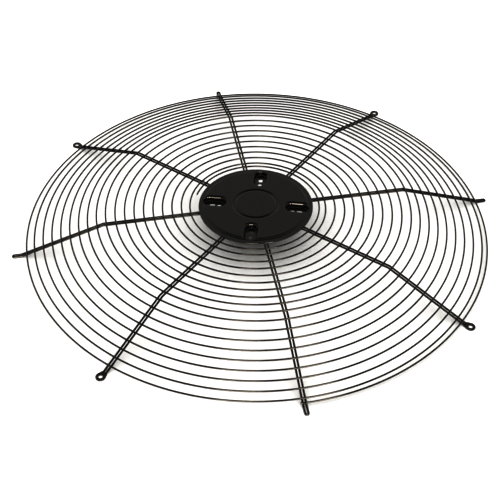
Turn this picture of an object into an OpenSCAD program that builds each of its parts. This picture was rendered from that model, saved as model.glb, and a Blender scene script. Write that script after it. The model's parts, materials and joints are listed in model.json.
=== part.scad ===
// Spiral wire fan guard with a pressed motor plate.
// One long wire is wound as a flat spiral, then down the slope of a shallow dish. It lies
// on eight spokes. Each spoke is one wire bent back on itself as a hairpin, and each second
// spoke ends in a flat eye for a fixing screw. A pressed plate sits on the spokes' inner
// ends and carries the motor. The guard stands on its spoke ends, dish up, on Z = 0.

/* [Spiral wire] */
// Diameter of the spiral wire
spiral_wire_d = 2.5; // [1.5:0.1:3.5]
// Radius of the spiral at its inner free end
start_r = 91; // [88:1:110]
// Distance from the circle of the fixing holes in to the outer turn
ring_inset = 12; // [10:0.5:20]
// Nominal distance between two turns, measured along the dish
turn_pitch = 14; // [9:0.5:24]
// Growth in radius over the first turn, and over the last one
end_pitch = 6; // [4:0.5:9]
// Direction of the inner free end, counted from the spoke on +X
start_angle = 155; // [140:1:175]
// Length of spiral wire past the middle of the last spoke
end_overrun = 5; // [4:0.5:9]

/* [Dish] */
// Steepness of the slope in degrees
slope_angle = 18.5; // [16:0.5:24]
// Height of the spokes' flat middle above their feet
dish_depth = 41; // [40:0.5:44]

/* [Spokes] */
// Diameter of the spoke wire
spoke_wire_d = 3; // [2.4:0.1:4]
// Gap between the two legs of a spoke
leg_gap = 1.4; // [1:0.1:3]
// Radius at which the legs end under the plate
leg_inner_r = 40; // [36:1:60]
// Bend radius of the spoke wire, at its middle line
spoke_bend_r = 7; // [5:0.5:10]
// Distance from the outer turn out to the bend at the foot of the slope
foot_run = 3; // [1:0.1:6]
// Distance from the circle of the fixing holes out to the tips of the plain spokes
tip_reach = 5.5; // [4:0.5:15]
// Clearance between two wires at a weld
weld_gap = 0.03; // [0.02:0.01:0.1]

/* [Fixing eyes] */
// Diameter of the circle on which the four fixing holes lie
eye_pcd = 714; // [560:1:900]
// Diameter of a fixing hole
eye_hole_d = 6; // [4.5:0.1:7]
// Width of a flattened eye
eye_d = 13.5; // [12:0.5:16]
// Thickness of a flattened eye
eye_t = 2.2; // [1.8:0.1:2.4]

/* [Motor plate] */
// Diameter of the plate
plate_d = 169; // [166:1:172]
// Thickness of the sheet
sheet_t = 1.8; // [1.5:0.1:2]
// Height of the raised middle above the rim
rim_step = 2.2; // [1.6:0.1:2.6]
// Width of the low rim, from the plate's edge to where the raised middle starts to fall
rim_w = 10; // [8.5:0.5:12]
// Bend radius of the step at the top face
step_bend_r = 2.6; // [2.4:0.1:3]
// Radius of the round stiffening groove
groove_r = 31.7; // [28:0.1:32]
// Width of the groove at the top face
groove_w = 6.4; // [5:0.1:7]
// Depth of the groove
groove_depth = 1; // [0.6:0.1:1.2]

/* [Motor pockets] */
// Turn of the first pocket from the spoke on +X, in degrees
pocket_angle = -17; // [-19:0.5:-15]
// Radius at which a pocket's middle lies
pocket_r = 61.4; // [60:0.1:62]
// Distance between the middles of a pocket's two round ends
pocket_span = 15.8; // [14:0.1:17]
// Distance between a pocket's two side walls
pocket_w = 17.5; // [16:0.5:18]
// Depth of a pocket's floor below the raised middle
pocket_depth = 8.5; // [8:0.1:10]
// Bend radius at a pocket's mouth, at the top face
mouth_bend_r = 4; // [3:0.1:4.2]
// Bend radius at a pocket's floor, at the top face
floor_bend_r = 2; // [1.5:0.1:2.5]
// Diameter of the circle through the round motor holes
motor_pcd = 110; // [108:0.5:111]
// Diameter of the circle through the slotted motor holes
slot_pcd = 130; // [129:0.5:132]
// Diameter of a motor hole, and width of a slot
motor_hole_d = 6.2; // [5:0.1:6.4]
// Length of a slotted motor hole
slot_l = 8.4; // [7.4:0.1:9]

/* [Finish] */
// Colour of the enamelled wire
wire_color = "#1c1b1a";
// Colour of the enamelled plate
plate_color = "#232221";

/* [Hidden] */
$fn = 48;
spoke_count = 8;
spoke_step = 360 / spoke_count;
spoke_wire_r = spoke_wire_d / 2;
spiral_wire_r = spiral_wire_d / 2;

// One wire is drawn as stretches. Each second stretch is a hair thicker and takes
// in the ends of its neighbours, so that the stretches join into one solid.
lap = 0.15;
swell = 0.02;

// Side view of a spoke: the middle line of its wire
leg_y = (leg_gap + spoke_wire_d) / 2;
foot_z = spoke_wire_r + swell / 2;
flat_z = foot_z + dish_depth;
half_slope = slope_angle / 2;
wire_offset = spoke_wire_r + spiral_wire_r + weld_gap;
eye_r = eye_pcd / 2;
ring_r = eye_r - ring_inset;
foot_bend_r = ring_r + foot_run;
leg_bend_r = foot_bend_r - dish_depth / tan(slope_angle);
bend_r = leg_bend_r + wire_offset * tan(half_slope);
bend_run = spoke_bend_r * tan(half_slope);
slope_l = dish_depth / sin(slope_angle) - 2 * bend_run;
plain_end_r = eye_r + tip_reach - leg_y - spoke_wire_r;

// Side view of the spiral: the height of its middle line at a radius
wire_top_z = flat_z + wire_offset;
wire_foot_z = foot_z + wire_offset;
function wire_z(r) = max(wire_foot_z, wire_top_z - max(0, r - bend_r) * tan(slope_angle));

// The spiral is a chain of half circles, and its turns are counted from the inner end.
// The flat part holds a whole number of half circles after a first quarter turn.
first_turns = 0.25;
flat_growth = bend_r - start_r - end_pitch;
flat_turns = first_turns + round(2 * (1 + flat_growth / turn_pitch - first_turns)) / 2;
flat_pitch = flat_growth / (flat_turns - 1);
end_angle = 270 - end_overrun / ring_r * 180 / PI;
end_part = (start_angle - end_angle + 360) % 360 / 360;
slope_growth = ring_r - end_pitch - bend_r;
wanted_turns = flat_turns + slope_growth / cos(slope_angle) / turn_pitch + 1;
end_turns = round(wanted_turns - end_part) + end_part;
last_turn = end_turns - 1;
slope_pitch = slope_growth / (last_turn - flat_turns);
half_count = ceil((end_turns - first_turns) * 2);
function turn_r(turns) =
    start_r
    + end_pitch * min(turns, 1)
    + flat_pitch * min(max(turns - 1, 0), flat_turns - 1)
    + slope_pitch * min(max(turns - flat_turns, 0), last_turn - flat_turns)
    + end_pitch * max(turns - last_turn, 0);

// Fixing eyes. A neck joins the two round legs to the flat eye, whose underside lies a
// hair above the legs' lowest line.
eye_z = 0.05;
neck_r = foot_bend_r + bend_run;
neck_l = 1.2;
neck_half_w = leg_y + 0.8 * spoke_wire_r;
side_reach = 0.98 * eye_d / 2;
side_l = norm([eye_r - neck_r, neck_half_w]);
side_angle = asin(side_reach / side_l) - atan2(neck_half_w, eye_r - neck_r);
shoulder_l = 2.5;

// Motor plate
rim_z = flat_z + spoke_wire_r + weld_gap + sheet_t;
plateau_z = rim_z + rim_step;
plate_r = plate_d / 2;
plateau_r = plate_r - rim_w;
rim_edge_r = 0.6;
step_turn = acos(1 - rim_step / (2 * step_bend_r));
step_end_r = plateau_r + 2 * step_bend_r * sin(step_turn);
groove_bend_r = (pow(groove_w / 2, 2) + pow(groove_depth, 2)) / (2 * groove_depth);
groove_bend_z = plateau_z - groove_depth + groove_bend_r;
pocket_count = 4;
pocket_floor_z = plateau_z - pocket_depth;
pocket_half_w = pocket_w / 2;
mouth_half_w = pocket_half_w + mouth_bend_r;
block_z = pocket_floor_z - 2 * sheet_t;

// Points on an arc about (x, y), from one direction to another
function arc(x, y, r, from, to, steps) = [
    for (i = [0 : steps])
        let (angle = from + (to - from) * i / steps)
            [x + r * cos(angle), y + r * sin(angle)]
];

// A round wire along an arc in the XY plane. It turns clockwise from +X.
module wire_arc(r, from, to, d) {
    rotate([0, 0, -to])
        rotate_extrude(angle = to - from)
            translate([r, 0])
                circle(d = d);
}

// The half circle of the spiral that begins at a turn count, or the part of it between
// two others. It leans a little, so that its height follows the dish from end to end.
module spiral_half(turns, from, to, thick) {
    near_r = turn_r(turns);
    far_r = turn_r(turns + 0.5);
    half_run = (near_r + far_r) / 2;
    half_rise = (wire_z(near_r) - wire_z(far_r)) / 2;
    r = norm([half_run, half_rise]);
    lap_angle = thick ? 0 : lap / r * 180 / PI;
    rotate([0, 0, start_angle - 360 * turns])
        translate([(near_r - far_r) / 2, 0, wire_z(near_r) - half_rise])
            rotate([0, -atan2(half_rise, half_run), 0])
                wire_arc(
                    r,
                    360 * (from - turns) - lap_angle,
                    360 * (to - turns) + lap_angle,
                    thick ? spiral_wire_d + swell : spiral_wire_d
                );
}

module spiral_wire() {
    color(wire_color)
        for (i = [0 : half_count]) {
            turns = first_turns + (i - 1) / 2;
            spiral_half(turns, max(turns, 0), min(turns + 0.5, end_turns), i % 2 == 0);
        }
}

// A straight stretch of spoke wire along +X, which laps into what it meets
module straight_wire(l) {
    translate([-lap, 0, 0])
        rotate([0, 90, 0])
            cylinder(d = spoke_wire_d, h = l + 2 * lap);
}

// A bend of spoke wire in the XZ plane. It turns clockwise from the given direction.
module bent_wire(from) {
    rotate([90, 0, 0])
        rotate([0, 0, from])
            wire_arc(spoke_bend_r, 0, slope_angle, spoke_wire_d + swell);
}

// One leg of a spoke in the XZ plane, from under the plate out to end_r
module spoke_leg(end_r) {
    translate([leg_inner_r, 0, flat_z])
        straight_wire(leg_bend_r - bend_run - leg_inner_r);
    translate([leg_bend_r - bend_run, 0, flat_z - spoke_bend_r])
        bent_wire(90);
    translate([leg_bend_r, 0, flat_z])
        rotate([0, slope_angle, 0])
            translate([bend_run, 0, 0])
                straight_wire(slope_l);
    translate([foot_bend_r + bend_run, 0, foot_z + spoke_bend_r])
        bent_wire(-90);
    translate([foot_bend_r + bend_run, 0, foot_z])
        straight_wire(end_r - foot_bend_r - bend_run);
}

module both_legs(end_r) {
    for (side = [-1, 1])
        translate([0, side * leg_y, 0])
            spoke_leg(end_r);
}

// A spoke whose wire turns back in a plain narrow bend
module plain_spoke(index) {
    color(wire_color)
        rotate([0, 0, index * spoke_step]) {
            both_legs(plain_end_r);
            translate([plain_end_r, 0, foot_z])
                rotate([0, 0, 90])
                    wire_arc(leg_y, 0, 180, spoke_wire_d + swell);
        }
}

// The flat eye: a round end on a neck whose sides run onto it
module flat_eye() {
    corner_x = eye_r - side_reach * sin(side_angle);
    corner_y = side_reach * cos(side_angle);
    translate([0, 0, eye_z])
        linear_extrude(eye_t - eye_z)
            polygon([
                [neck_r, -neck_half_w],
                [corner_x, -corner_y],
                [corner_x, corner_y],
                [neck_r, neck_half_w]
            ]);
    translate([eye_r, 0, eye_z])
        cylinder(d = eye_d, h = eye_t - eye_z);
}

// Where a round leg is pressed down to the height of the flat eye
module leg_shoulder() {
    translate([neck_r + neck_l - lap, 0, foot_z])
        rotate([0, 90, 0])
            cylinder(r1 = spoke_wire_r - swell, r2 = eye_t - foot_z, h = shoulder_l);
}

// A spoke whose closed end is pressed flat into an eye
module eye_spoke(index) {
    color(wire_color)
        rotate([0, 0, index * spoke_step])
            difference() {
                union() {
                    both_legs(neck_r + neck_l);
                    flat_eye();
                    for (side = [-1, 1])
                        translate([0, side * leg_y, 0])
                            leg_shoulder();
                }
                translate([eye_r, 0, -1])
                    cylinder(d = eye_hole_d, h = eye_t + 2);
            }
}

// Half section of all that lies deeper than d below the plate's top face, pockets aside
module plate_section(d) {
    groove_half_angle = acos((groove_bend_r - groove_depth + d) / (groove_bend_r + d));
    edge_x = plate_r + d - rim_edge_r;
    polygon(concat(
        [[0, block_z - d], [0, plateau_z - d]],
        arc(
            groove_r, groove_bend_z, groove_bend_r + d,
            270 - groove_half_angle, 270 + groove_half_angle, 8
        ),
        arc(plateau_r, plateau_z - step_bend_r, step_bend_r - d, 90, 90 - step_turn, 6),
        arc(step_end_r, rim_z + step_bend_r, step_bend_r + d, 270 - step_turn, 270, 6),
        arc(edge_x, rim_z - d - rim_edge_r, rim_edge_r, 90, 0, 4),
        [[plate_r + d, block_z - d]]
    ));
}

// Side view of half a pocket's hollow, grown by d on its walls and floor
function pocket_side(d) = concat(
    arc(
        pocket_half_w - floor_bend_r, pocket_floor_z + floor_bend_r, floor_bend_r + d,
        -90, 0, 6
    ),
    arc(mouth_half_w, plateau_z - mouth_bend_r, mouth_bend_r - d, 180, 90, 8),
    [[mouth_half_w, plateau_z + 1]]
);

// A long pocket's hollow: two half turns of its section and a straight stretch between them
module pocket_hollow(d) {
    side = pocket_side(d);
    other_side = [for (i = [len(side) - 1 : -1 : 0]) [-side[i].x, side[i].y]];
    for (end = [0, 180])
        rotate([0, 0, end])
            translate([pocket_span / 2, 0, 0])
                rotate([0, 0, -90])
                    rotate_extrude(angle = 180)
                        polygon(concat(
                            [[0, pocket_floor_z - d]],
                            side,
                            [[0, plateau_z + 1]]
                        ));
    translate([-pocket_span / 2, 0, 0])
        rotate([90, 0, 90])
            linear_extrude(pocket_span)
                polygon(concat(side, other_side));
}

// All that lies deeper than d below the plate's top face
module plate_block(d) {
    difference() {
        rotate_extrude()
            plate_section(d);
        for (i = [0 : pocket_count - 1])
            rotate([0, 0, pocket_angle + i * 360 / pocket_count])
                translate([pocket_r, 0, 0])
                    pocket_hollow(d);
    }
}

// One round hole and one slot through a pocket's floor
module motor_holes() {
    slot_reach = (slot_l - motor_hole_d) / 2;
    translate([0, 0, block_z]) {
        translate([motor_pcd / 2, 0, 0])
            cylinder(d = motor_hole_d, h = pocket_depth);
        for (end = [-1, 1])
            translate([slot_pcd / 2 + end * slot_reach, 0, 0])
                cylinder(d = motor_hole_d, h = pocket_depth);
        translate([slot_pcd / 2 - slot_reach, -motor_hole_d / 2, 0])
            cube([2 * slot_reach, motor_hole_d, pocket_depth]);
    }
}

module motor_plate() {
    color(plate_color)
        difference() {
            plate_block(0);
            plate_block(sheet_t);
            for (i = [0 : pocket_count - 1])
                rotate([0, 0, pocket_angle + i * 360 / pocket_count])
                    motor_holes();
        }
}

spiral_wire();
plain_spoke(0);  // plain_spoke_right
plain_spoke(2);  // plain_spoke_back
plain_spoke(4);  // plain_spoke_left
plain_spoke(6);  // plain_spoke_front
eye_spoke(1);  // eye_spoke_back_right
eye_spoke(3);  // eye_spoke_back_left
eye_spoke(5);  // eye_spoke_front_left
eye_spoke(7);  // eye_spoke_front_right
motor_plate();
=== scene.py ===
# Spiral wire fan guard with a pressed motor plate.
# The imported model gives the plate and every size. The wires are drawn again here with
# fine rings of faces, their welds and pressed eyes are added, and all of it is enamelled.

import json
import math

import bpy
from mathutils import Matrix, Vector


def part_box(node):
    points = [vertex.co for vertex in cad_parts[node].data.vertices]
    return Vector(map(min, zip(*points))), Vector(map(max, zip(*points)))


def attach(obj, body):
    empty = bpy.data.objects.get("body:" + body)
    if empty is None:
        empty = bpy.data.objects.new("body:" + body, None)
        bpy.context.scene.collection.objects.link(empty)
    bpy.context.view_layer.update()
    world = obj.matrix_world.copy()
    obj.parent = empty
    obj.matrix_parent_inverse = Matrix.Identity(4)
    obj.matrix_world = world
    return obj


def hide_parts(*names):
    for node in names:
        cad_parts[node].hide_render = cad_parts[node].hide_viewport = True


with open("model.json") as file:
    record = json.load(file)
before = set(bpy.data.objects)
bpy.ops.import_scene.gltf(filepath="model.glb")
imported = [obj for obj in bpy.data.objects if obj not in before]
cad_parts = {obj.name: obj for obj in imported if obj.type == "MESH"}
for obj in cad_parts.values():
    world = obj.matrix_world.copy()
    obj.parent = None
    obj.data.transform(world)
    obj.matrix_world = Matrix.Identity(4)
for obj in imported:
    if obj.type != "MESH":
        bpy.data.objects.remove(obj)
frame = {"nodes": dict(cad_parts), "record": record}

MM = 0.001
UP = Vector((0, 0, 1))

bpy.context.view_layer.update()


# ---------------------------------------------------------------- sizes

def mount(name):
    return next(m for m in frame["record"]["mounts"] if m["name"] == name)


SPOKES = {
    "plain_spoke_right": 0,
    "eye_spoke_back_right": 45,
    "plain_spoke_back": 90,
    "eye_spoke_back_left": 135,
    "plain_spoke_left": 180,
    "eye_spoke_front_left": 225,
    "plain_spoke_front": 270,
    "eye_spoke_front_right": 315,
}

# Wires, and the small breaks on their cut ends
SPIRAL_R = 1.25 * MM
SPOKE_R = 1.5 * MM
LEG_Y = 2.2 * MM
WELD_GAP = 0.03 * MM
WIRE_GAP = SPIRAL_R + SPOKE_R + WELD_GAP
SPIRAL_END_BREAK = 0.3 * MM
SPOKE_END_BREAK = 0.4 * MM

# Eyes
EYES = mount("fixing_eyes")["dims"]
EYE_R = EYES["pcd_mm"] / 2 * MM
EYE_HOLE_R = EYES["hole_r_mm"] * MM
EYE_OUTER_R = 6.75 * MM
EYE_EDGE_R = 0.35 * MM
WEB_L = 1.6 * MM
EYE_TOP = 2.2 * MM
EYE_LOW = 0.05 * MM

# Side view of a spoke, and of the dish that the spiral lies on
TIP_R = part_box("plain_spoke_right")[1].x
LEG_INNER_R = 40 * MM
FLOOR_GAP = 0.01 * MM
FOOT_Z = SPOKE_R + FLOOR_GAP
DISH_DEPTH = 41 * MM
FLAT_Z = FOOT_Z + DISH_DEPTH
SLOPE = math.radians(18.5)
SPOKE_BEND_R = 7 * MM
RING_INSET = 12 * MM
FOOT_RUN = 3 * MM
RING_R = EYE_R - RING_INSET
FOOT_BEND_R = RING_R + FOOT_RUN
LEG_BEND_R = FOOT_BEND_R - DISH_DEPTH / math.tan(SLOPE)
BEND_R = LEG_BEND_R + WIRE_GAP * math.tan(SLOPE / 2)
BEND_RUN = SPOKE_BEND_R * math.tan(SLOPE / 2)
NECK_R = FOOT_BEND_R + BEND_RUN
NECK_L = 1.2 * MM
NECK_HALF_W = LEG_Y + 0.8 * 2 * SPOKE_R
SHOULDER_L = 2.5 * MM
EYE_MIDDLE_Z = (EYE_TOP + EYE_LOW) / 2
# The neck's sides touch the eye's round outline at this angle back from the eye's middle
TANGENT = math.asin(EYE_OUTER_R / math.hypot(EYE_R - NECK_R, NECK_HALF_W)) - math.atan2(
    NECK_HALF_W, EYE_R - NECK_R
)
SLOPE_L = DISH_DEPTH / math.sin(SLOPE) - 2 * BEND_RUN

# The spiral, in turns counted from its inner end
START_R = 91 * MM
START_DEGREES = 155
START_ANGLE = math.radians(START_DEGREES)
END_OVERRUN = 5 * MM
END_DEGREES = 270 - math.degrees(END_OVERRUN / RING_R)
END_PITCH = 6 * MM
FIRST_TURNS = 0.25
FLAT_TURNS = 10.25
WHOLE_TURNS = 19
END_TURNS = WHOLE_TURNS + (START_DEGREES - END_DEGREES) % 360 / 360
LAST_TURN = END_TURNS - 1
FLAT_PITCH = (BEND_R - START_R - END_PITCH) / (FLAT_TURNS - 1)
SLOPE_PITCH = (RING_R - END_PITCH - BEND_R) / (LAST_TURN - FLAT_TURNS)

# Welds
BEAD_R = 1.15 * MM
BEAD_FLATNESS = 0.42
BEAD_RIM = 1.16
PLATE_WELD_R = 80 * MM

# How finely a wire is drawn, and how close two stretches' ends lie to be made one
MERGE_GAP = 0.1 * MM
WIRE_SIDES = 12
TURN_STEP = math.radians(1.5)
BEND_STEPS = 8


# ---------------------------------------------------------------- the spiral's path

def turn_r(turns):
    """Radius of the spiral after a number of turns."""
    return (
        START_R
        + END_PITCH * min(turns, 1)
        + FLAT_PITCH * min(max(turns - 1, 0), FLAT_TURNS - 1)
        + SLOPE_PITCH * min(max(turns - FLAT_TURNS, 0), LAST_TURN - FLAT_TURNS)
        + END_PITCH * max(turns - LAST_TURN, 0)
    )


def wire_z(r):
    """Height of the spiral's middle line at a radius."""
    top = FLAT_Z + WIRE_GAP
    return max(FOOT_Z + WIRE_GAP, top - max(0, r - BEND_R) * math.tan(SLOPE))


def spiral_point(turns):
    angle = START_ANGLE - 2 * math.pi * turns
    r = turn_r(turns)
    return Vector((r * math.cos(angle), r * math.sin(angle), wire_z(r)))


class HalfCircle:
    """The half circle of the spiral that begins at a turn count."""

    def __init__(self, turns):
        begin, end = spiral_point(turns), spiral_point(turns + 0.5)
        angle = START_ANGLE - 2 * math.pi * turns
        self.centre = (begin + end) / 2
        self.arm = begin - self.centre
        self.ahead = Vector((math.sin(angle), -math.cos(angle), 0))
        self.axis = self.arm.cross(self.ahead).normalized()

    def place(self, angle):
        """The point and the direction of travel after an angle along the half circle."""
        turned = Matrix.Rotation(angle, 3, self.axis)
        return self.centre + turned @ self.arm, turned @ self.ahead


# ---------------------------------------------------------------- drawing a wire by hand

def deselect():
    bpy.ops.object.select_all(action="DESELECT")


def lay_here(piece):
    """Puts the piece's place into its mesh, so that its object lies at the origin."""
    deselect()
    piece.select_set(True)
    bpy.context.view_layer.objects.active = piece
    bpy.ops.object.transform_apply(location=True, rotation=True, scale=True)


def join(pieces, name):
    deselect()
    for piece in pieces:
        piece.select_set(True)
    bpy.context.view_layer.objects.active = pieces[0]
    bpy.ops.object.join()
    whole = bpy.context.active_object
    whole.name = whole.data.name = name
    return whole


def start_wire(name, point, ahead, radius):
    """A ring across the wire's first end, open in edit mode."""
    deselect()
    bpy.ops.mesh.primitive_circle_add(
        vertices=WIRE_SIDES,
        radius=radius,
        fill_type="NOTHING",
        location=point,
        rotation=ahead.to_track_quat("Z", "Y").to_euler(),
    )
    wire = bpy.context.active_object
    wire.name = wire.data.name = name
    lay_here(wire)
    bpy.ops.object.mode_set(mode="EDIT")
    bpy.ops.mesh.select_mode(type="EDGE")
    bpy.ops.mesh.select_all(action="SELECT")
    return wire


def draw_straight(way):
    bpy.ops.mesh.extrude_region_move(TRANSFORM_OT_translate={"value": way})


def draw_bend(centre, axis, angle, steps):
    bpy.ops.mesh.spin(
        steps=steps, angle=-angle, center=centre, axis=axis, dupli=False, use_auto_merge=False
    )


def end_wire(wire, bevel):
    """Closes both sheared ends of the wire and breaks their edges."""
    bpy.ops.mesh.select_all(action="DESELECT")
    bpy.ops.mesh.select_mode(type="EDGE")
    bpy.ops.mesh.select_non_manifold()
    bpy.ops.mesh.edge_face_add()
    bpy.ops.mesh.select_all(action="SELECT")
    bpy.ops.mesh.normals_make_consistent(inside=False)
    bpy.ops.mesh.select_all(action="DESELECT")
    bpy.ops.mesh.select_mode(type="FACE")
    bpy.ops.object.mode_set(mode="OBJECT")
    for face in wire.data.polygons:
        face.select = len(face.vertices) > 4
    bpy.ops.object.mode_set(mode="EDIT")
    bpy.ops.mesh.bevel(offset=bevel, segments=2, affect="EDGES")
    bpy.ops.object.mode_set(mode="OBJECT")
    bpy.ops.object.shade_smooth_by_angle(angle=math.radians(35))


def finish_piece(piece, material, slot, *nodes):
    piece.data.materials.clear()
    piece.data.materials.append(material)
    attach(piece, "root")
    if nodes:
        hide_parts(*nodes)


def draw_half_turn(turns, begin, stop):
    """The stretch of wire between two turn counts, on the half circle that starts at `turns`."""
    half = HalfCircle(turns)
    stretch = start_wire("half_turn", *half.place(2 * math.pi * (begin - turns)), SPIRAL_R)
    angle = 2 * math.pi * (stop - begin)
    draw_bend(half.centre, half.axis, angle, max(1, round(angle / TURN_STEP)))
    bpy.ops.object.mode_set(mode="OBJECT")
    return stretch


def draw_spiral(material):
    """One long wire, wound turn by turn from its inner end down to the rim of the dish."""
    stretches = []
    turns = FIRST_TURNS - 0.5
    while turns < END_TURNS:
        stretches.append(draw_half_turn(turns, max(turns, 0), min(turns + 0.5, END_TURNS)))
        turns += 0.5
    wire = join(stretches, "spiral_wire_drawn")
    bpy.ops.object.mode_set(mode="EDIT")
    bpy.ops.mesh.select_all(action="SELECT")
    bpy.ops.mesh.remove_doubles(threshold=MERGE_GAP)
    end_wire(wire, SPIRAL_END_BREAK)
    finish_piece(wire, material, "wire_enamel", "spiral_wire")


def draw_leg_out(side):
    """From the inner end of a leg, which lies along +X, out to the foot."""
    y = side * LEG_Y
    draw_straight((LEG_BEND_R - BEND_RUN - LEG_INNER_R, 0, 0))
    draw_bend((LEG_BEND_R - BEND_RUN, y, FLAT_Z - SPOKE_BEND_R), (0, 1, 0), SLOPE, BEND_STEPS)
    draw_straight((SLOPE_L * math.cos(SLOPE), 0, -SLOPE_L * math.sin(SLOPE)))
    draw_bend((NECK_R, y, FOOT_Z + SPOKE_BEND_R), (0, 1, 0), -SLOPE, BEND_STEPS)


def draw_leg_in(side):
    """From the foot of a leg back to its inner end."""
    y = side * LEG_Y
    draw_bend((NECK_R, y, FOOT_Z + SPOKE_BEND_R), (0, 1, 0), SLOPE, BEND_STEPS)
    draw_straight((-SLOPE_L * math.cos(SLOPE), 0, SLOPE_L * math.sin(SLOPE)))
    draw_bend((LEG_BEND_R - BEND_RUN, y, FLAT_Z - SPOKE_BEND_R), (0, 1, 0), -SLOPE, BEND_STEPS)
    draw_straight((LEG_INNER_R - LEG_BEND_R + BEND_RUN, 0, 0))


def draw_plain_spoke():
    """A hairpin along +X: out along one leg, round the narrow bend and back along the other."""
    end_r = TIP_R - LEG_Y - SPOKE_R
    inner = Vector((LEG_INNER_R, -LEG_Y, FLAT_Z))
    wire = start_wire("plain_spoke_drawn", inner, Vector((1, 0, 0)), SPOKE_R)
    draw_leg_out(-1)
    draw_straight((end_r - NECK_R, 0, 0))
    draw_bend((end_r, 0, FOOT_Z), UP, math.pi, 2 * BEND_STEPS)
    draw_straight((NECK_R - end_r, 0, 0))
    draw_leg_in(1)
    end_wire(wire, SPOKE_END_BREAK)
    return wire


def draw_eye_leg(side):
    """One leg out to the eye, where the press has flattened it."""
    inner = Vector((LEG_INNER_R, side * LEG_Y, FLAT_Z))
    wire = start_wire("eye_leg", inner, Vector((1, 0, 0)), SPOKE_R)
    draw_leg_out(side)
    draw_straight((NECK_L, 0, 0))
    squash = (EYE_TOP - EYE_LOW) / (2 * SPOKE_R)
    draw_straight((SHOULDER_L, 0, EYE_MIDDLE_Z - FOOT_Z))
    bpy.ops.transform.resize(
        value=(1, 1.12, squash * 0.94), center_override=(0, side * LEG_Y, EYE_MIDDLE_Z)
    )
    end_wire(wire, SPIRAL_END_BREAK)
    return wire


def draw_eye():
    """The pressed eye: a pierced disc whose inner side is drawn out into the neck."""
    bpy.ops.mesh.primitive_cylinder_add(
        vertices=48,
        radius=EYE_OUTER_R,
        depth=EYE_TOP - EYE_LOW,
        location=(EYE_R, 0, EYE_MIDDLE_Z),
    )
    eye = bpy.context.active_object
    eye.name = eye.data.name = "eye"
    lay_here(eye)
    bpy.ops.object.mode_set(mode="EDIT")
    bpy.ops.mesh.select_mode(type="FACE")
    bpy.ops.mesh.select_all(action="DESELECT")
    bpy.ops.object.mode_set(mode="OBJECT")
    for face in eye.data.polygons:
        face.select = abs(face.normal.z) < 0.5 and face.normal.x < -math.sin(TANGENT)
    bpy.ops.object.mode_set(mode="EDIT")
    bpy.ops.mesh.extrude_region_move(TRANSFORM_OT_translate={"value": (0, 0, 0)})
    bpy.ops.transform.resize(value=(0, 1, 1), center_override=(NECK_R, 0, 0))
    bpy.ops.transform.resize(value=(1, NECK_HALF_W / EYE_OUTER_R, 1), center_override=(0, 0, 0))
    # The pressed web thins out between the round legs
    draw_straight((-WEB_L, 0, 0))
    bpy.ops.transform.resize(value=(1, 0.78, 0.45), center_override=(0, 0, EYE_MIDDLE_Z))
    bpy.ops.mesh.select_all(action="DESELECT")
    bpy.ops.object.mode_set(mode="OBJECT")
    for face in eye.data.polygons:
        face.select = abs(face.normal.z) > 0.5 and len(face.vertices) > 4
    bpy.ops.object.mode_set(mode="EDIT")
    bpy.ops.mesh.inset(thickness=EYE_OUTER_R - EYE_HOLE_R)
    bpy.ops.mesh.bridge_edge_loops()
    bpy.ops.mesh.select_mode(type="EDGE")
    bpy.ops.mesh.select_all(action="DESELECT")
    bpy.ops.mesh.edges_select_sharp(sharpness=math.radians(40))
    bpy.ops.mesh.bevel(offset=EYE_EDGE_R, segments=3, affect="EDGES")
    bpy.ops.mesh.select_all(action="SELECT")
    bpy.ops.mesh.normals_make_consistent(inside=False)
    bpy.ops.object.mode_set(mode="OBJECT")
    bpy.ops.object.shade_smooth_by_angle(angle=math.radians(35))
    return eye


def draw_eye_spoke():
    """Two legs along +X that run into a pressed eye."""
    return join([draw_eye(), draw_eye_leg(-1), draw_eye_leg(1)], "eye_spoke_drawn")


def draw_nugget():
    """A weld between two crossed wires: a flat bead with a squeezed-out rim."""
    deselect()
    bpy.ops.mesh.primitive_uv_sphere_add(
        segments=10, ring_count=6, radius=BEAD_R, location=(0, 0, 0)
    )
    bead = bpy.context.active_object
    bead.name = bead.data.name = "weld"
    bpy.ops.object.mode_set(mode="EDIT")
    bpy.ops.mesh.select_all(action="SELECT")
    bpy.ops.transform.resize(value=(1, 1, BEAD_FLATNESS))
    bpy.ops.mesh.select_mode(type="VERT")
    bpy.ops.mesh.select_all(action="DESELECT")
    bpy.ops.object.mode_set(mode="OBJECT")
    for vertex in bead.data.vertices:
        vertex.select = abs(vertex.co.z) < 0.05 * MM
    bpy.ops.object.mode_set(mode="EDIT")
    bpy.ops.transform.resize(value=(BEAD_RIM, BEAD_RIM, 1))
    bpy.ops.object.mode_set(mode="OBJECT")
    bpy.ops.object.shade_smooth()
    return bead


def crossings(y, degrees):
    """Where the spiral crosses a leg that lies at a side offset from a spoke's middle."""
    points = []
    lap = (math.degrees(START_ANGLE) - degrees) % 360 / 360
    while lap < END_TURNS:
        lean = math.atan2(y, turn_r(lap)) / (2 * math.pi)
        turns = lap - lean
        if 0 < turns < END_TURNS:
            begin = FIRST_TURNS - 0.5 + 0.5 * math.floor((turns - FIRST_TURNS + 0.5) * 2)
            points.append(HalfCircle(begin).place(2 * math.pi * (turns - begin))[0])
        lap += 1
    return points


def weld_place(point):
    """The spot under a turn where it touches its spoke, and how that spot is tilted."""
    outward = Vector((point.x, point.y, 0)).normalized()
    tilt = SLOPE if outward.dot(point) > BEND_R else 0
    normal = outward * math.sin(tilt) + UP * math.cos(tilt)
    return point - normal * (SPIRAL_R + WELD_GAP / 2), normal


def lay_copy(bead, spot, normal):
    twin = bead.copy()
    twin.data = bead.data.copy()
    bpy.context.collection.objects.link(twin)
    tilt = normal.to_track_quat("Z", "Y").to_matrix().to_4x4()
    twin.data.transform(Matrix.Translation(spot) @ tilt)
    return twin


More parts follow.
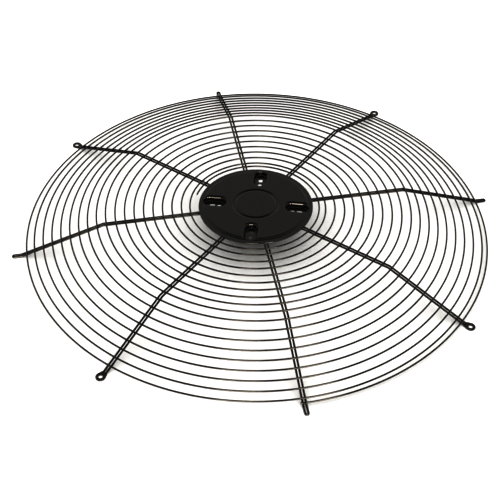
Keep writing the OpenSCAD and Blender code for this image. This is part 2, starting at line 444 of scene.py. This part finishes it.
def draw_welds(material):
    """A bead at each crossing of a turn and a leg, and one where each leg meets the plate."""
    bead = draw_nugget()
    beads = []
    for degrees in SPOKES.values():
        turn = Matrix.Rotation(math.radians(degrees), 3, "Z")
        for side in (-1, 1):
            for point in crossings(side * LEG_Y, degrees):
                beads.append(lay_copy(bead, *weld_place(point)))
            under_rim = turn @ Vector(
                (PLATE_WELD_R, side * LEG_Y, FLAT_Z + SPOKE_R + WELD_GAP / 2)
            )
            beads.append(lay_copy(bead, under_rim, UP))
    bpy.data.objects.remove(bead)
    finish_piece(join(beads, "welds"), material, "wire_enamel")


def copy_turned(piece, name, degrees):
    """A copy with its own mesh, turned about the guard's axis."""
    twin = piece.copy()
    twin.data = piece.data.copy()
    twin.name = twin.data.name = name
    bpy.context.collection.objects.link(twin)
    twin.data.transform(Matrix.Rotation(math.radians(degrees), 4, "Z"))
    return twin


# ---------------------------------------------------------------- materials

def linear(code):
    """A #rrggbb colour as linear light."""
    parts = [int(code[i:i + 2], 16) / 255 for i in (1, 3, 5)]
    return [p / 12.92 if p <= 0.04045 else ((p + 0.055) / 1.055) ** 2.4 for p in parts] + [1]


def add(tree, kind, settings=None, **links):
    """Adds a node, sets its properties and its sockets, and links what comes into it."""
    node = tree.nodes.new(kind)
    for key, value in (settings or {}).items():
        if hasattr(node, key):
            setattr(node, key, value)
        else:
            node.inputs[key].default_value = value
    for key, source in links.items():
        tree.links.new(source, node.inputs[key.replace("_", " ")])
    return node


def glossy_enamel(name, colours, peel_mm, sag_mm, roughness):
    """Black baked enamel dipped over steel: deep and wet-looking, a little orange-peeled."""
    material = bpy.data.materials.new(name)
    material.use_nodes = True
    tree = material.node_tree
    tree.nodes.clear()
    place = add(tree, "ShaderNodeTexCoord").outputs["Object"]
    # Orange peel: the fine ripple that breaks up the edges of a highlight
    peel = add(
        tree, "ShaderNodeTexNoise",
        {"Scale": 1 / (peel_mm * MM), "Detail": 2.0, "Roughness": 0.45}, Vector=place,
    )
    # Sags: slow swells where the wet coat ran together before it was baked
    sag = add(
        tree, "ShaderNodeTexNoise", {"Scale": 1 / (sag_mm * MM), "Detail": 1.0}, Vector=place,
    )
    swell = add(
        tree, "ShaderNodeBump", {"Strength": 0.5, "Distance": 0.08 * MM},
        Height=sag.outputs["Fac"],
    )
    skin = add(
        tree, "ShaderNodeBump", {"Strength": 0.9, "Distance": 0.018 * MM},
        Height=peel.outputs["Fac"], Normal=swell.outputs["Normal"],
    )
    # Handling: broad clouds where the shine is a little duller and the black a little warmer
    cloud = add(
        tree, "ShaderNodeTexNoise", {"Scale": 1 / (28 * MM), "Detail": 4.0}, Vector=place,
    )
    dull = add(
        tree, "ShaderNodeMapRange",
        {"From Min": 0.3, "From Max": 0.7, "To Min": roughness[0], "To Max": roughness[1]},
        Value=cloud.outputs["Fac"],
    )
    tone = add(tree, "ShaderNodeMix", {"data_type": "RGBA"})
    tone.inputs[6].default_value = linear(colours[0])
    tone.inputs[7].default_value = linear(colours[1])
    tree.links.new(cloud.outputs["Fac"], tone.inputs[0])
    # Dust: sparse specks caught in the coat
    speck = add(
        tree, "ShaderNodeTexNoise", {"Scale": 1 / (0.7 * MM), "Detail": 0.0}, Vector=place,
    )
    caught = add(
        tree, "ShaderNodeMapRange",
        {"From Min": 0.72, "From Max": 0.8, "To Min": 0.0, "To Max": 0.35},
        Value=speck.outputs["Fac"],
    )
    dusty = add(tree, "ShaderNodeMix", {"data_type": "RGBA"})
    dusty.inputs[7].default_value = linear("#4a4642")
    tree.links.new(caught.outputs["Result"], dusty.inputs[0])
    tree.links.new(tone.outputs[2], dusty.inputs[6])
    enamel = add(
        tree, "ShaderNodeBsdfPrincipled",
        {"IOR": 1.5, "Coat Weight": 0.6, "Coat Roughness": 0.08, "Coat IOR": 1.5},
        Roughness=dull.outputs["Result"], Normal=skin.outputs["Normal"],
        Base_Color=dusty.outputs[2], Coat_Normal=skin.outputs["Normal"],
    )
    add(tree, "ShaderNodeOutputMaterial", Surface=enamel.outputs["BSDF"])
    return material


# The wires' thick glossy coat gives hard bright points along their tops
wire_enamel = glossy_enamel("black_enamel_wire", ("#0c0b0b", "#121110"), 0.9, 6, (0.14, 0.26))
# The plate's coat is thinner and flows flat, so its shine is even
plate_enamel = glossy_enamel("black_enamel_plate", ("#0e0d0d", "#151413"), 1.4, 22, (0.14, 0.24))

# ---------------------------------------------------------------- the guard

draw_spiral(wire_enamel)
plain = draw_plain_spoke()
eyed = draw_eye_spoke()
for name, degrees in SPOKES.items():
    pattern = plain if name.startswith("plain") else eyed
    finish_piece(copy_turned(pattern, name + "_drawn", degrees), wire_enamel, "wire_enamel", name)
bpy.data.objects.remove(plain)
bpy.data.objects.remove(eyed)
draw_welds(wire_enamel)
for name, node in frame["nodes"].items():
    node.data.materials.clear()
    node.data.materials.append(plate_enamel if name == "motor_plate" else wire_enamel)

# ---------------------------------------------------------------- stage, light and camera

deselect()
bpy.ops.mesh.primitive_plane_add(size=12, location=(0, 0, 0))
floor = bpy.context.active_object
floor.name = "floor"
pale = bpy.data.materials.new("pale_floor")
pale.use_nodes = True
pale.node_tree.nodes["Principled BSDF"].inputs["Base Color"].default_value = linear("#f6f5f3")
pale.node_tree.nodes["Principled BSDF"].inputs["Roughness"].default_value = 0.9
floor.data.materials.append(pale)

world = bpy.data.worlds.new("studio")
bpy.context.scene.world = world
world.use_nodes = True
room = world.node_tree
room.nodes["Background"].inputs["Color"].default_value = linear("#fffdfa")
# Pale walls under a dark ceiling, which draws the groove and the rim step as dark lines
height = add(
    room, "ShaderNodeSeparateXYZ",
    Vector=add(room, "ShaderNodeTexCoord").outputs["Generated"],
)
walls = add(
    room, "ShaderNodeMapRange",
    {"From Min": 0.76, "From Max": 0.9, "To Min": 0.6, "To Max": 0.02},
    Value=height.outputs["Z"],
)
room.links.new(walls.outputs["Result"], room.nodes["Background"].inputs["Strength"])


def softbox(name, place, aim, size, power, colour="#ffffff"):
    """A soft lamp that faces a point."""
    light = bpy.data.lights.new(name, "AREA")
    light.shape = "RECTANGLE"
    light.size, light.size_y = size
    light.energy = power
    light.color = linear(colour)[:3]
    lamp = bpy.data.objects.new(name, light)
    bpy.context.collection.objects.link(lamp)
    lamp.location = place
    lamp.rotation_euler = (Vector(aim) - Vector(place)).to_track_quat("-Z", "Y").to_euler()
    return lamp


# A wide lamp overhead lights the floor evenly and stays out of the gloss. Two tall panels
# low at the front put the highlights on bends and wires, and throw no shadow.
softbox("overhead", (0, 0, 3), (0, 0, 0), (7, 7), 290).visible_glossy = False
for name, place, width in (
    ("left_panel", (-0.7, -2.34, 0.62), 0.8),
    ("right_panel", (0.6, -2.36, 0.62), 0.7),
):
    softbox(name, place, (0, 0, 0.62), (width, 1.2), 80 * width, "#fff1dd").visible_diffuse = False

camera = bpy.data.objects.new("camera", bpy.data.cameras.new("camera"))
bpy.context.collection.objects.link(camera)
camera.data.sensor_width = 36
camera.data.lens = 77.18
stand = Vector((-0.2227, -1.1855, 1.0760))
aim = Vector((-0.0169, -0.0461, 0))
level = (aim - stand).to_track_quat("-Z", "Y").to_matrix()
camera.location = stand
camera.rotation_euler = (level @ Matrix.Rotation(math.radians(0.05), 3, "Z")).to_euler()
bpy.context.scene.camera = camera
bpy.context.scene.view_settings.view_transform = "Standard"
bpy.context.scene.view_settings.gamma = 0.6
